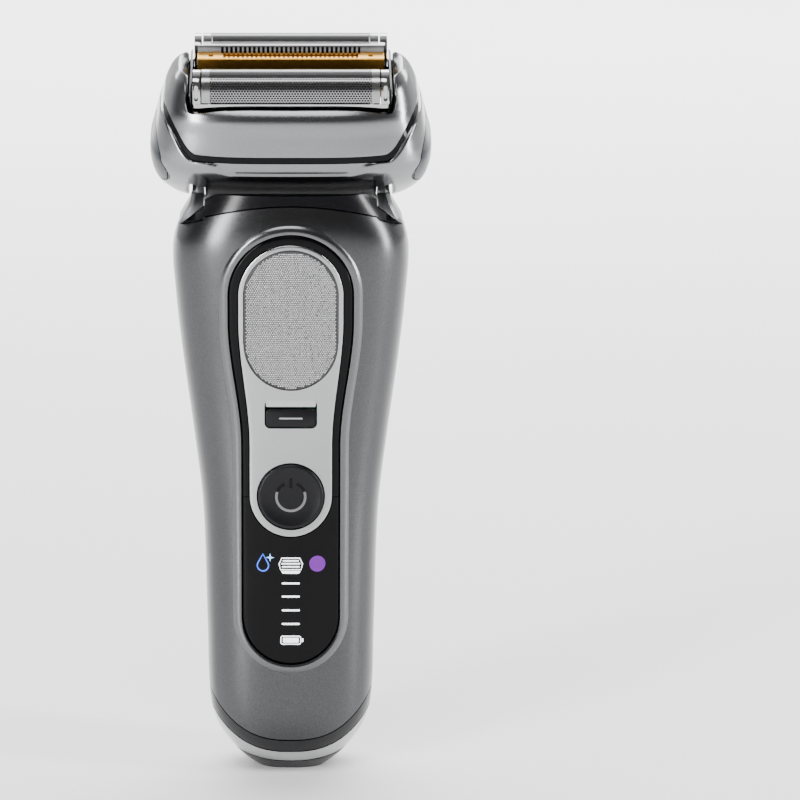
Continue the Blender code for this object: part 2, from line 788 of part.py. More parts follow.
def make_head():
    head = bpy.data.objects.new("head_pivot", None)
    PARTS.objects.link(head)
    head.location = Vector(PIVOT) * MM
    head.rotation_euler.x = HEAD_TILT
    make_head_shells(head)
    make_motor(head)
    make_cassette(head)
    make_shaving_unit(head, -1, "front")
    make_shaving_unit(head, 1, "rear")
    make_centre_trimmer(head)


def make_handle():
    make_shells()
    make_neck()
    make_arm(-1)
    make_arm(1)
    make_console()
    make_grip()
    make_switches()
    make_base()
    make_inside()
    make_rear_trimmer()


clear_scene()
PARTS = new_collection("foil_shaver")
CUTTERS = new_collection("cutters")
make_handle()
make_head()
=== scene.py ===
"""Foil shaver looks: finely built shells, console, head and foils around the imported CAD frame."""

import math

import bmesh
import bpy
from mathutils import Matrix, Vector


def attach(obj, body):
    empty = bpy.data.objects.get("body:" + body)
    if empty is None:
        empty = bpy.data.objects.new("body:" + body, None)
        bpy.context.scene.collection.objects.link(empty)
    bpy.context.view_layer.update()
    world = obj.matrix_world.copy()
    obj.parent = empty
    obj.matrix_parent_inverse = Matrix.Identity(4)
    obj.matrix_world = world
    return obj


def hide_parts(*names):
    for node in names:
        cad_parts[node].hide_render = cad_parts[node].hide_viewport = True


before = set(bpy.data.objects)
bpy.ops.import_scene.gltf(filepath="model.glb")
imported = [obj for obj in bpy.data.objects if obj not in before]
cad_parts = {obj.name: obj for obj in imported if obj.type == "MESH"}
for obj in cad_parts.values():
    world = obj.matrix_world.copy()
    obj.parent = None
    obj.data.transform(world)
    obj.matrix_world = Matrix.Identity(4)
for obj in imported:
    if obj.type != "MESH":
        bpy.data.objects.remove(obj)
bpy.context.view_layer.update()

MM = 0.001
GAP = 0.3

# Shapes that the looks share with the CAD, in millimetres.
PIVOT = (0.0, 1.0, 143.0)
HEAD_TILT = math.radians(19)
WALL = 2.0
SHELL_SPLIT = 2.0
CRADLE_RADIUS = 16.3
ARM_INNER = 19.2
ARM_OUTER = 21.7
ARM_TIP = 5.2
PIN_RADIUS = 1.8
TOP_OF_NECK = 132.0

# Handle stations: height, half width, front face, back face.
HANDLE = (
    (0, 7.8, -7.0, 7.0),
    (2, 10.3, -9.4, 8.8),
    (5, 13.2, -12.0, 10.8),
    (10, 16.6, -14.4, 12.6),
    (16, 18.2, -15.3, 13.3),
    (33, 18.8, -15.0, 14.0),
    (60, 19.7, -13.6, 15.0),
    (77, 21.7, -13.3, 16.0),
    (94, 24.0, -14.0, 16.4),
    (108, 25.5, -15.4, 15.8),
    (120, 26.1, -16.5, 15.0),
    (126, 24.2, -16.4, 14.6),
    (TOP_OF_NECK + 1, 19.6, -14.6, 13.6),
)
HANDLE_POWER = 2.7

# Yoke shoulder stations: height, outer half width, depth in front of the pivot, depth behind it.
SHOULDER = (
    (124, 25.3, 12.4, 8.0),
    (126.6, 23.9, 12.0, 6.5),
    (129.2, 22.4, 9.4, 6.0),
    (131.5, 21.7, 7.0, 6.0),
)

# Head stations about the tilt axis: height, half width, half depth.
HEAD = (
    (-13.2, 22.0, 3.0),
    (-12, 25.2, 6.5),
    (-8, 29.2, 11.3),
    (-4, 30.7, 15.2),
    (0, 31.1, 18.0),
    (2, 30.6, 18.2),
    (4, 30.1, 17.9),
    (8, 29.1, 17.0),
    (12, 27.9, 16.1),
    (14, 27.2, 14.1),
    (16.5, 26.0, 11.5),
    (18, 24.6, 9.0),
)
HEAD_POWER = 3.5
HEAD_WALL = 1.8
HEAD_SKIN = 0.07
WINDOW_HALF = (22.4, 13.8)
WINDOW_POWER = 14
BUTTON_MIDDLE = -1.0
BUTTON_HALF = (12.5, 7.0)

CASSETTE_HALF = (22.1, 13.3)
CASSETTE_FLOOR = 8.4
CASSETTE_SIDE_TOP = 15.5
FOIL_OFFSET = 9.0
FOIL_RADIUS = 4.2
FOIL_CENTRE = 16.3
FOIL_FOOT = 14.8
FOIL_HALF = 19.3
FOIL_PITCH = 0.62
FOIL_HOLE = 0.265
FOIL_PLAIN = 17.6
CARRIER_HALF = 21.2
TRIM_HALF = 20.4

# Console outlines on the front face: lower half width, upper half width, lower arc, upper arc.
LIP = (12.9, 15.8, 37.4, 110.0)
BORDER = (10.7, 13.6, 37.4, 110.0)
PLATE = (9.2, 11.6, 64.6, 110.0)
PAD = (10.3, 10.4, 99.0, 110.0)
PAD_PITCH = 0.5
SEAM = 64.4
BUTTON_CENTRE = 64.6
BUTTON_RADIUS = 7.6
BUTTON_PLAY = 0.25
BUTTON_PROUD = 0.7
BUTTON_BACK = -11.4
SYMBOL_RADIUS = 3.2
SYMBOL_LINE = 0.62
LOCK_HALF = 5.8
LOCK_LOW = 80.0
LOCK_HIGH = 86.4
SOCKET_HALF = (4.5, 2.5)
TRIMMER_HALF = 8.7


# The power button's section: a rolled rim as (in from the edge, back from the front), then the
# dished middle as (radius, back from the front).
BUTTON_RIM = ((0.08, 0.3), (0.3, 0.08), (0.6, 0.0), (0.9, 0.06), (1.2, 0.2))
BUTTON_DISH = ((3.6, 0.34), (1.8, 0.38), (0.1, 0.39))

# Console edge sections, as (outward offset, lift off the front face).
LIP_SECTION = (
    (0.0, -1.6),
    (0.0, -0.02),
    (-0.15, 0.06),
    (-0.4, 0.22),
    (-0.75, 0.36),
    (-1.2, 0.4),
    (-1.65, 0.37),
    (-1.9, 0.25),
    (-2.0, 0.05),
    (-2.02, -1.6),
)
GLASS_EDGE = ((-0.02, -0.25), (-0.05, -0.08), (-0.14, 0.02), (-0.3, 0.07), (-0.6, 0.09))
PLATE_EDGE = ((-0.02, -0.3), (-0.04, -0.05), (-0.12, 0.08), (-0.25, 0.15), (-0.45, 0.18), (-0.9, 0.18))
PAD_EDGE = ((-0.02, -0.2), (-0.04, 0.05), (-0.1, 0.14), (-0.22, 0.17), (-0.34, 0.12), (-0.4, 0.03))


# ---------------------------------------------------------------- curves


def smoothstep(t):
    t = min(max(t, 0.0), 1.0)
    return t * t * (3 - 2 * t)


def along(stations, height):
    """The stations' values at a height, on a smooth curve through them."""
    last = len(stations) - 1
    height = min(max(height, stations[0][0]), stations[last][0])
    i = next(k for k in range(last) if height <= stations[k + 1][0])
    low, high = stations[i], stations[i + 1]
    before, after = stations[max(i - 1, 0)], stations[min(i + 2, last)]
    span = high[0] - low[0]
    t = (height - low[0]) / span
    values = []
    for k in range(1, len(low)):
        start_slope = (high[k] - before[k]) / (high[0] - before[0])
        end_slope = (after[k] - low[k]) / (after[0] - low[0])
        values.append(
            (2 * t**3 - 3 * t**2 + 1) * low[k]
            + (t**3 - 2 * t**2 + t) * span * start_slope
            + (3 * t**2 - 2 * t**3) * high[k]
            + (t**3 - t**2) * span * end_slope
        )
    return values


def front_y(x, z):
    """The handle's front face at a place seen from the front."""
    half, front, back = along(HANDLE, z)
    middle, half_y = (front + back) / 2, (back - front) / 2
    bulge = max(0.0, 1 - abs(x / half) ** HANDLE_POWER)
    return middle - half_y * bulge ** (1 / HANDLE_POWER)


def superellipse(half_x, front, back, height, power, count):
    middle, half_y = (front + back) / 2, (back - front) / 2
    ring = []
    for i in range(count):
        angle = math.tau * (i + 0.5) / count
        c, s = math.cos(angle), math.sin(angle)
        x = half_x * math.copysign(abs(c) ** (2 / power), c)
        y = half_y * math.copysign(abs(s) ** (2 / power), s)
        ring.append((x, middle + y, height))
    return ring


def arc(centre, radius, start, end, steps):
    """Points of an arc, angles in degrees from the first axis."""
    points = []
    for i in range(steps + 1):
        angle = math.radians(start + (end - start) * i / steps)
        x = centre[0] + radius * math.cos(angle)
        points.append((x, centre[1] + radius * math.sin(angle)))
    return points


def rounded(half_x, low, high, radius, steps=6, middle=0.0):
    """A rectangle outline with round corners, between two heights."""
    corners = (
        (middle + half_x - radius, high - radius, 0),
        (middle - half_x + radius, high - radius, 90),
        (middle - half_x + radius, low + radius, 180),
        (middle + half_x - radius, low + radius, 270),
    )
    points = []
    for x, z, start in corners:
        points += arc((x, z), radius, start, start + 90, steps)
    return points


def console_outline(low_half, high_half, low_centre, high_centre):
    """A long outline with a round top and bottom that narrows between heights 104 and 76."""
    sides = []
    steps = 48
    for i in range(1, steps):
        z = low_centre + (high_centre - low_centre) * i / steps
        grown = smoothstep((z - 76) / 28) * (high_half - low_half)
        sides.append((low_half + grown, z))
    top = arc((0, high_centre), high_half, 0, 180, 48)
    bottom = arc((0, low_centre), low_half, 180, 360, 48)
    left = [(-x, z) for x, z in reversed(sides)]
    return sides + top + left + bottom


def under(curve, half, low, steps=96):
    """The outline under a height curve, down to a low line."""
    points = []
    for i in range(steps + 1):
        x = half - 2 * half * i / steps
        points.append((x, curve(abs(x))))
    return points + [(-half, low), (half, low)]


def shell_foot(x):
    return 8.3 + 10.2 * (x / 18.2) ** 2.6


def ring_top(x):
    return 5.2 + 9.5 * (x / 18.0) ** 2.6


def cap_top(x):
    return 2.3 + 2.4 * (x / 12.5) ** 2


def shell_top(x):
    """The top edge of the shells: an arc between the arms, and a slope under each arm."""
    if x <= ARM_INNER - GAP:
        return 129.7 - 2.8 * (x / 19) ** 2
    return 126.4 - 0.35 * (x - 19)


def arm_foot(x):
    """The sloped lower edge of the yoke arms."""
    return 129.0 - 0.71 * (x - ARM_INNER)


def neck_top(x):
    return TOP_OF_NECK if x <= ARM_INNER - GAP else arm_foot(x) - GAP


def parting(x):
    """The head's parting line, which sweeps up round the corners."""
    return 3.0 + 8.0 * smoothstep((x - 21) / 8)


def raised(curve, by):
    return lambda x: curve(x) + by


# ---------------------------------------------------------------- meshes


def helper(bm):
    """A working object, scaled from millimetres to metres."""
    bmesh.ops.recalc_face_normals(bm, faces=bm.faces)
    bmesh.ops.scale(bm, vec=(MM, MM, MM), verts=bm.verts)
    mesh = bpy.data.meshes.new("working")
    bm.to_mesh(mesh)
    bm.free()
    obj = bpy.data.objects.new("working", mesh)
    bpy.context.scene.collection.objects.link(obj)
    return obj


def from_faces(points, faces):
    """A helper from points and the faces between them, with touching points merged."""
    bm = bmesh.new()
    verts = [bm.verts.new(point) for point in points]
    for face in faces:
        bm.faces.new([verts[i] for i in face])
    bmesh.ops.remove_doubles(bm, verts=bm.verts, dist=1e-4)
    return helper(bm)


def box(low, high):
    bm = bmesh.new()
    bmesh.ops.create_cube(bm, size=1)
    size = [b - a for a, b in zip(low, high)]
    middle = [(a + b) / 2 for a, b in zip(low, high)]
    bmesh.ops.scale(bm, vec=size, verts=bm.verts)
    bmesh.ops.translate(bm, vec=middle, verts=bm.verts)
    return helper(bm)


def slab(half_x, half_y, low, high, x=0.0, y=0.0):
    """A box centred on (x, y) between two heights."""
    return box((x - half_x, y - half_y, low), (x + half_x, y + half_y, high))


def prism(outline, axis, low, high):
    """An outline of points in the plane across an axis, extruded along that axis."""
    place = "xyz".index(axis)
    bm = bmesh.new()
    verts = []
    for point in outline:
        corner = list(point)
        corner.insert(place, low)
        verts.append(bm.verts.new(corner))
    made = bmesh.ops.extrude_face_region(bm, geom=[bm.faces.new(verts)])
    moved = [item for item in made["geom"] if isinstance(item, bmesh.types.BMVert)]
    step = [0, 0, 0]
    step[place] = high - low
    bmesh.ops.translate(bm, vec=step, verts=moved)
    return helper(bm)


def rod(start, end, radius, sides=64):
    start, end = Vector(start), Vector(end)
    bm = bmesh.new()
    depth = (end - start).length
    size = {"radius1": radius, "radius2": radius, "depth": depth}
    bmesh.ops.create_cone(bm, cap_ends=True, segments=sides, **size)
    turn = (end - start).to_track_quat("Z", "Y").to_matrix()
    bmesh.ops.rotate(bm, matrix=turn, verts=bm.verts)
    bmesh.ops.translate(bm, vec=(start + end) / 2, verts=bm.verts)
    return helper(bm)


def through(rings, closed=False, capped=True):
    """A body through rings of equally many points.

    It is joined last to first, or capped, or left to close where its end rings fold onto a line.
    """
    bm = bmesh.new()
    loops = [[bm.verts.new(point) for point in ring] for ring in rings]
    count = len(rings[0])
    pairs = list(zip(loops, loops[1:]))
    if closed:
        pairs.append((loops[-1], loops[0]))
    for lower, upper in pairs:
        for i in range(count):
            j = (i + 1) % count
            bm.faces.new((lower[i], lower[j], upper[j], upper[i]))
    if capped and not closed:
        bm.faces.new(loops[0])
        bm.faces.new(loops[-1])
    if not capped:
        bmesh.ops.remove_doubles(bm, verts=bm.verts, dist=1e-4)
    return helper(bm)


def turned(profile, sides=96):
    """A body of revolution about Y from (radius, y) points, its axis through the origin."""
    rings = []
    for radius, y in profile:
        turns = [math.tau * k / sides for k in range(sides)]
        rings.append([(radius * math.cos(t), y, radius * math.sin(t)) for t in turns])
    return through(rings)


def boolean(target, other, operation):
    """Applies one Boolean to the target and removes the other object."""
    modifier = target.modifiers.new(operation.lower(), "BOOLEAN")
    modifier.operation = operation
    modifier.object = other
    modifier.solver = "EXACT"
    graph = bpy.context.evaluated_depsgraph_get()
    mesh = bpy.data.meshes.new_from_object(target.evaluated_get(graph))
    target.modifiers.clear()
    target.data = mesh
    bpy.data.objects.remove(other)
    return target


def cut(target, *others):
    for other in others:
        boolean(target, other, "DIFFERENCE")
    return target


def keep(target, *others):
    for other in others:
        boolean(target, other, "INTERSECT")
    return target


def join(target, *others):
    for other in others:
        boolean(target, other, "UNION")
    return target


def merge(target, *others):
    """Puts several helpers in one object without a Boolean."""
    bm = bmesh.new()
    for obj in (target,) + others:
        bm.from_mesh(obj.data)
    bm.to_mesh(target.data)
    bm.free()
    for obj in others:
        bpy.data.objects.remove(obj)
    return target


def softened(obj, width, segments=2, angle=40):
    """Rounds the sharp edges with real geometry."""
    modifier = obj.modifiers.new("edges", "BEVEL")
    modifier.width = width * MM
    modifier.segments = segments
    modifier.limit_method = "ANGLE"
    modifier.angle_limit = math.radians(angle)
    modifier.use_clamp_overlap = True
    graph = bpy.context.evaluated_depsgraph_get()
    mesh = bpy.data.meshes.new_from_object(obj.evaluated_get(graph))
    obj.modifiers.clear()
    obj.data = mesh
    return obj


def piece(obj, name, finish, body, nodes=(), head=False, sharp=32):
    """Finishes a helper as a shown piece: place, shading, material, body and the nodes it stands for."""
    bm = bmesh.new()
    bm.from_mesh(obj.data)
    bmesh.ops.remove_doubles(bm, verts=bm.verts, dist=2e-6)
    bmesh.ops.dissolve_degenerate(bm, edges=bm.edges, dist=2e-6)
    if head:
        c, s = math.cos(HEAD_TILT), math.sin(HEAD_TILT)
        for vert in bm.verts:
            x, y, z = vert.co
            vert.co = (x, y * c - z * s + PIVOT[1] * MM, y * s + z * c + PIVOT[2] * MM)
    bm.to_mesh(obj.data)
    bm.free()
    obj.data.shade_smooth()
    obj.data.set_sharp_from_angle(angle=math.radians(sharp))
    obj.data.materials.clear()
    obj.data.materials.append(LOOKS[finish])
    obj.name = name
    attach(obj, body)
    if nodes:
        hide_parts(*nodes)
    return obj


# ---------------------------------------------------------------- materials


def look(
    name, colour, metallic, roughness, grain, shade=0.08, spread=0.05, shine=0.5, bump=0.0
):
    """A finish whose colour and roughness drift with fine noise."""
    made = bpy.data.materials.new("look_" + name)
    made.use_nodes = True
    nodes, links = made.node_tree.nodes, made.node_tree.links
    shader = nodes["Principled BSDF"]
    place = nodes.new("ShaderNodeTexCoord")
    noise = nodes.new("ShaderNodeTexNoise")
    noise.inputs["Scale"].default_value = grain
    noise.inputs["Detail"].default_value = 3.0
    links.new(place.outputs["Object"], noise.inputs["Vector"])
    ramp = nodes.new("ShaderNodeValToRGB")
    dark = [channel * (1 - shade) for channel in colour]
    light = [min(1.0, channel * (1 + shade)) for channel in colour]
    ramp.color_ramp.elements[0].position = 0.3
    ramp.color_ramp.elements[1].position = 0.7
    ramp.color_ramp.elements[0].color = (*dark, 1)
    ramp.color_ramp.elements[1].color = (*light, 1)
    links.new(noise.outputs["Fac"], ramp.inputs["Fac"])
    links.new(ramp.outputs["Color"], shader.inputs["Base Color"])
    rough = nodes.new("ShaderNodeMapRange")
    rough.inputs["To Min"].default_value = max(0.02, roughness - spread)
    rough.inputs["To Max"].default_value = roughness + spread
    links.new(noise.outputs["Fac"], rough.inputs["Value"])
    links.new(rough.outputs["Result"], shader.inputs["Roughness"])
    shader.inputs["Metallic"].default_value = metallic
    shader.inputs["Specular IOR Level"].default_value = shine
    if bump:
        raise_noise = nodes.new("ShaderNodeBump")
        raise_noise.inputs["Strength"].default_value = bump
        raise_noise.inputs["Distance"].default_value = 0.00004
        links.new(noise.outputs["Fac"], raise_noise.inputs["Height"])
        links.new(raise_noise.outputs["Normal"], shader.inputs["Normal"])
    return made


def lit(name, colour, strength):
    """A softly glowing display mark."""
    made = look(name, colour, metallic=0.0, roughness=0.4, grain=600, shade=0.06)
    shader = made.node_tree.nodes["Principled BSDF"]
    shader.inputs["Emission Color"].default_value = (*colour, 1)
    shader.inputs["Emission Strength"].default_value = strength
    return made


# Metal, plastic and rubber finishes. Grain is the noise scale, shine the specular level.
FINISHES = {
    "shell": dict(
        colour=(0.082, 0.083, 0.086), metallic=1.0, roughness=0.25, grain=3500,
        shade=0.16, spread=0.05,
    ),
    "lip": dict(
        colour=(0.135, 0.137, 0.141), metallic=1.0, roughness=0.22, grain=3000,
        shade=0.1, spread=0.04,
    ),
    "rear": dict(
        colour=(0.012, 0.012, 0.013), metallic=0.0, roughness=0.45, grain=1500,
        shade=0.2, spread=0.08, shine=0.4, bump=0.5,
    ),
    "gloss": dict(
        colour=(0.0015, 0.0015, 0.002), metallic=0.0, roughness=0.05, grain=300,
        shade=0.2, spread=0.01, shine=0.12,
    ),
    "satin_black": dict(
        colour=(0.006, 0.006, 0.007), metallic=0.0, roughness=0.3, grain=1800,
        shade=0.15, spread=0.05, shine=0.18,
    ),
    "button": dict(
        colour=(0.010, 0.013, 0.019), metallic=0.2, roughness=0.3, grain=1800,
        shade=0.12, spread=0.05, shine=0.4,
    ),
    "head": dict(
        colour=(0.235, 0.238, 0.246), metallic=1.0, roughness=0.2, grain=2500,
        shade=0.05, spread=0.03,
    ),
    "arm": dict(
        colour=(0.22, 0.223, 0.23), metallic=1.0, roughness=0.34, grain=2500,
        shade=0.08, spread=0.04,
    ),
    "plate": dict(
        colour=(0.40, 0.404, 0.41), metallic=1.0, roughness=0.22, grain=2500,
        shade=0.04, spread=0.03,
    ),
    "pad": dict(
        colour=(0.46, 0.46, 0.465), metallic=1.0, roughness=0.28, grain=2200,
        shade=0.08, spread=0.05,
    ),
    # The pad's base, seen only in the crevices between the bumps: a darker, rougher copy of the pad
    # metal, painted shade.
    "pad_base": dict(
        colour=(0.08, 0.08, 0.083), metallic=1.0, roughness=0.5, grain=2200,
        shade=0.1, spread=0.05,
    ),
    "chrome": dict(
        colour=(0.46, 0.465, 0.47), metallic=1.0, roughness=0.09, grain=600,
        shade=0.03, spread=0.02,
    ),
    "steel": dict(
        colour=(0.60, 0.60, 0.61), metallic=1.0, roughness=0.24, grain=2000,
        shade=0.06, spread=0.05,
    ),
    "foil": dict(
        colour=(0.34, 0.34, 0.345), metallic=1.0, roughness=0.2, grain=2000,
        shade=0.06, spread=0.04,
    ),
    # Near-black finish for the cutters, the trimmer blade and the guard's slot sheet: painted shade for
    # the dark inside of the head.
    "cutter": dict(
        colour=(0.01, 0.01, 0.011), metallic=0.5, roughness=0.6, grain=2000,
        shade=0.1, spread=0.05, shine=0.1,
    ),
    "gold": dict(
        colour=(0.62, 0.33, 0.06), metallic=1.0, roughness=0.3, grain=1500,
        shade=0.05, spread=0.04,
    ),
    "dark": dict(
        colour=(0.02, 0.02, 0.022), metallic=0.0, roughness=0.4, grain=1800,
        shade=0.15, spread=0.06, shine=0.4,
    ),
    "band": dict(
        colour=(0.004, 0.004, 0.005), metallic=0.0, roughness=0.22, grain=1200,
        shade=0.15, spread=0.05, shine=0.4,
    ),
    "cap": dict(
        colour=(0.03, 0.03, 0.032), metallic=0.3, roughness=0.35, grain=1800,
        shade=0.12, spread=0.05, shine=0.4,
    ),
    "rubber": dict(
        colour=(0.01, 0.01, 0.01), metallic=0.0, roughness=0.75, grain=1500,
        shade=0.2, spread=0.08, shine=0.3, bump=0.4,
    ),
    "board": dict(
        colour=(0.01, 0.10, 0.04), metallic=0.0, roughness=0.45, grain=500,
        shade=0.2, spread=0.08,
    ),
    "copper": dict(
        colour=(0.70, 0.30, 0.14), metallic=1.0, roughness=0.3, grain=1500,
        shade=0.12, spread=0.06,
    ),
    "cell": dict(
        colour=(0.05, 0.18, 0.12), metallic=0.0, roughness=0.35, grain=400,
        shade=0.1, spread=0.05,
    ),
    "brass": dict(
        colour=(0.72, 0.52, 0.20), metallic=1.0, roughness=0.25, grain=1500,
        shade=0.08, spread=0.05,
    ),
    "symbol": dict(
        colour=(0.16, 0.16, 0.17), metallic=0.6, roughness=0.3, grain=900,
        shade=0.06, spread=0.03,
    ),
}

# Display marks: colour and glow.
MARKS = {
    "mark_white": ((0.9, 0.92, 0.95), 1.6),
    "mark_blue": ((0.03, 0.12, 0.75), 0.8),
    "mark_pale": ((0.25, 0.55, 1.0), 1.2),
    "mark_purple": ((0.12, 0.004, 0.24), 0.45),
}

LOOKS = {name: look(name, **values) for name, values in FINISHES.items()}
LOOKS.update((name, lit(name, *values)) for name, values in MARKS.items())

# The finish that each of the record's material slots shows.
SLOTS = {
    "shell_gunmetal": "shell",
    "shell_rear": "rear",
    "black_satin": "satin_black",
    "black_gloss": "gloss",
    "display_glass": "gloss",
    "silver_satin": "arm",
    "head_silver": "head",
    "plate_silver": "plate",
    "pad_metal": "pad",
    "button_black": "button",
    "base_chrome": "chrome",
    "chrome": "chrome",
    "steel": "steel",
    "foil_steel": "foil",
    "guard_silver": "foil",
    "trimmer_gold": "gold",
    "dark_grey": "dark",
    "rubber": "rubber",
    "board_green": "board",
    "copper": "copper",
    "cell_wrap": "cell",
    "brass": "brass",
}


def paint_frame():
    """Gives every carried-over CAD node its slot's finish."""
    for name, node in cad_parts.items():
        for place in node.material_slots:
            key = place.material.name.split(".")[0] if place.material else "steel"
            finish = LOOKS[SLOTS.get(key, "steel")]
            # Cutters and the trimmer blade take the near-black cutter finish, painted shade for the
            # inside of the head.
            if name.endswith("cutter") or name == "lift_trimmer_blade":
                finish = LOOKS["cutter"]
            place.material = finish


# ---------------------------------------------------------------- handle


def heights(stations, most, low, high):
    """The stations' heights between two limits, with more where they lie over `most` apart."""
    found = [low]
    for station in list(stations) + [(high,)]:
        height = min(max(station[0], low), high)
        gap = height - found[-1]
        if gap < 0.05:
            continue
        parts = max(1, math.ceil(gap / most))
        start = found[-1]
        found += [start + gap * (k + 1) / parts for k in range(parts)]
    return found


def handle_envelope(inset=0.0, count=144, most=2.2, low=0.0, high=TOP_OF_NECK + 1):
    rings = []
    for height in heights(HANDLE, most, low, high):
        half, front, back = along(HANDLE, height)
        ring = superellipse(half - inset, front + inset, back - inset, height, HANDLE_POWER, count)
        rings.append(ring)
    return through(rings)


def shell_half(front):
    """The front or rear half of the handle's wall."""
    body = handle_envelope()
    cut(body, handle_envelope(WALL, 48, 9, 3, TOP_OF_NECK + 0.5))
    span = (-30, SHELL_SPLIT) if front else (SHELL_SPLIT + GAP, 30)
    keep(body, prism(under(shell_top, 28, -5), "y", *span))
    return cut(body, prism(under(raised(shell_foot, GAP), 24, -8), "y", -30, 30))


def make_shells():
    front = shell_half(True)
    cut(front, prism(console_outline(*LIP), "y", -30, -8))
    piece(front, "front_shell_skin", "shell", "handle", ["front_shell"])
    rear = shell_half(False)
    cut(rear, slab(TRIMMER_HALF + 0.6, 10, 68, 140, y=22))
    for k in range(11):
        groove = prism(rounded(12.0, 24 + 3.4 * k, 25.2 + 3.4 * k, 0.59), "y", 12.2, 30)
        cut(rear, keep(groove, cut(handle_envelope(-1, 64, 5), handle_envelope(0.5, 64, 5))))
    piece(rear, "rear_shell_skin", "rear", "handle", ["rear_shell"])


def neck_outline():
    """The neck band from the front: from the shells' top edge up to its own."""
    inner, tip, steps = ARM_INNER - GAP, 25.2, 40
    side = [tip + (inner + 0.01 - tip) * i / 8 for i in range(9)]
    top = [(x, neck_top(x)) for x in side] + [(inner, TOP_OF_NECK)]
    bottom = [(x, shell_top(x) + GAP) for x in side[:-1]]
    across = [inner * (1 - i / steps) for i in range(steps)]
    bottom += [(x, shell_top(x) + GAP) for x in across]
    left_top = [(-x, z) for x, z in reversed(top)]
    left_bottom = [(-x, z) for x, z in bottom]
    return top + left_top + left_bottom + [(0, shell_top(0) + GAP)] + list(reversed(bottom))


def make_neck():
    half = ARM_INNER - GAP
    seat = keep(handle_envelope(WALL + GAP, 64, 6), slab(half, 30, 124.2, 131))
    collar = keep(handle_envelope(0, 144, 2.2, 100), prism(neck_outline(), "y", -30, 30))
    _, y, z = PIVOT
    cradle = rod((-40, y, z), (40, y, z), CRADLE_RADIUS, 128)
    piece(cut(join(seat, collar), cradle), "neck_band_skin", "band", "handle", ["neck_band"])


def make_arm(side, name):
    """One arm of the yoke: a shoulder on the shells and a round-ended arm up to the pivot."""
    _, pivot_y, pivot_z = PIVOT
    edge = 0.9
    rings = []
    for z, outer, front, back in SHOULDER + ((pivot_z, ARM_OUTER, ARM_TIP, ARM_TIP),):
        ring = [(ARM_INNER, -front), (outer - edge, -front), (outer, -front + 2 * edge)]
        ring += [(outer, back - 2 * edge), (outer - edge, back), (ARM_INNER, back)]
        rings.append([(x * side, y + pivot_y, z) for x, y in ring])
    arm = through(rings)
    ends = sorted((ARM_INNER * side, ARM_OUTER * side))
    join(arm, rod((ends[0], pivot_y, pivot_z), (ends[1], pivot_y, pivot_z), ARM_TIP))
    cut(arm, prism(under(arm_foot, 28, 110), "y", -30, 30))
    bore = (10 * side, pivot_y, pivot_z), (30 * side, pivot_y, pivot_z)
    cut(arm, rod(*bore, PIN_RADIUS + 0.2))
    softened(arm, 0.22, 2, 20)
    piece(arm, "arm_" + name, "arm", "handle", ["yoke_" + name])


# ---------------------------------------------------------------- console


def widened(base, by):
    return (base[0] + by, base[1] + by, base[2], base[3])


def on_face(points, lift):
    """Outline points laid on the front face, lifted off it."""
    return [(x, front_y(x, z) - lift, z) for x, z in points]


def band(base, profile):
    """A closed section of (offset, lift) points swept round a console outline on the front face."""
    rings = [on_face(console_outline(*widened(base, by)), lift) for by, lift in profile]
    return through(rings, True)


def panel(base, profile, depth, rings_in=26):
    """A filled console shape on the front face with the given (offset, lift) edge profile."""
    centre = on_face(console_outline(0, 0, base[2], base[3]), -depth)
    sections = [centre, on_face(console_outline(*widened(base, profile[0][0])), -depth)]
    sections += [on_face(console_outline(*widened(base, by)), lift) for by, lift in profile]
    last, lift = profile[-1]
    for k in range(1, rings_in + 1):
        share = 1 - k / rings_in
        low, high = (base[0] + last) * share, (base[1] + last) * share
        sections.append(on_face(console_outline(low, high, base[2], base[3]), lift))
    return through(sections, capped=False)


def make_console():
    """The raised lip, the gloss border round the plate, and the display glass below it."""
    piece(band(LIP, LIP_SECTION), "console_lip", "lip", "handle", ["console_bezel"])
    border = panel(BORDER, GLASS_EDGE, 1.6)
    cut(border, slab(30, 40, -5, SEAM + 0.06))
    cut(border, prism(console_outline(*widened(PLATE, 0.15)), "y", -30, 5))
    piece(border, "console_border", "gloss", "handle", ["plate_border"])
    lens = panel(BORDER, GLASS_EDGE, 1.6)
    cut(lens, slab(30, 40, SEAM - 0.06, 150))
    cut(lens, prism(console_outline(*widened(PLATE, 0.15)), "y", -30, 5))
    piece(lens, "display_glass", "gloss", "handle", ["display_lens"])


def pad_bumps():
    """Small six-sided domes packed over the grip pad."""
    points, faces = [], []
    rows = int((PAD[3] - PAD[2] + 2 * PAD[1]) / (PAD_PITCH * 0.866)) + 1
    for j in range(rows):
        z = PAD[2] - PAD[0] + 0.5 + j * PAD_PITCH * 0.866
        inside = min(max(z, PAD[2]), PAD[3])
        room = (PAD[0] - 0.42) ** 2 - (z - inside) ** 2
        if room <= 0:
            continue
        half = math.sqrt(room)
        shift = PAD_PITCH / 2 * (j % 2)
        first = math.ceil((-half - shift) / PAD_PITCH)
        last = math.floor((half - shift) / PAD_PITCH)
        for i in range(first, last + 1):
            x = i * PAD_PITCH + shift
            start = len(points)
            for radius, lift in ((0.235, 0.02), (0.17, 0.13), (0.06, 0.19)):
                for k in range(6):
                    angle = math.tau * (k + 0.5) / 6
                    px, pz = x + radius * math.cos(angle), z + radius * math.sin(angle)
                    points.append((px, front_y(px, pz) - lift, pz))
            for level in (0, 6):
                for k in range(6):
                    m = (k + 1) % 6
                    a, b = start + level + k, start + level + m
                    faces.append((a, b, b + 6, a + 6))
            faces.append(tuple(start + 12 + k for k in range(6)))
    return from_faces(points, faces)


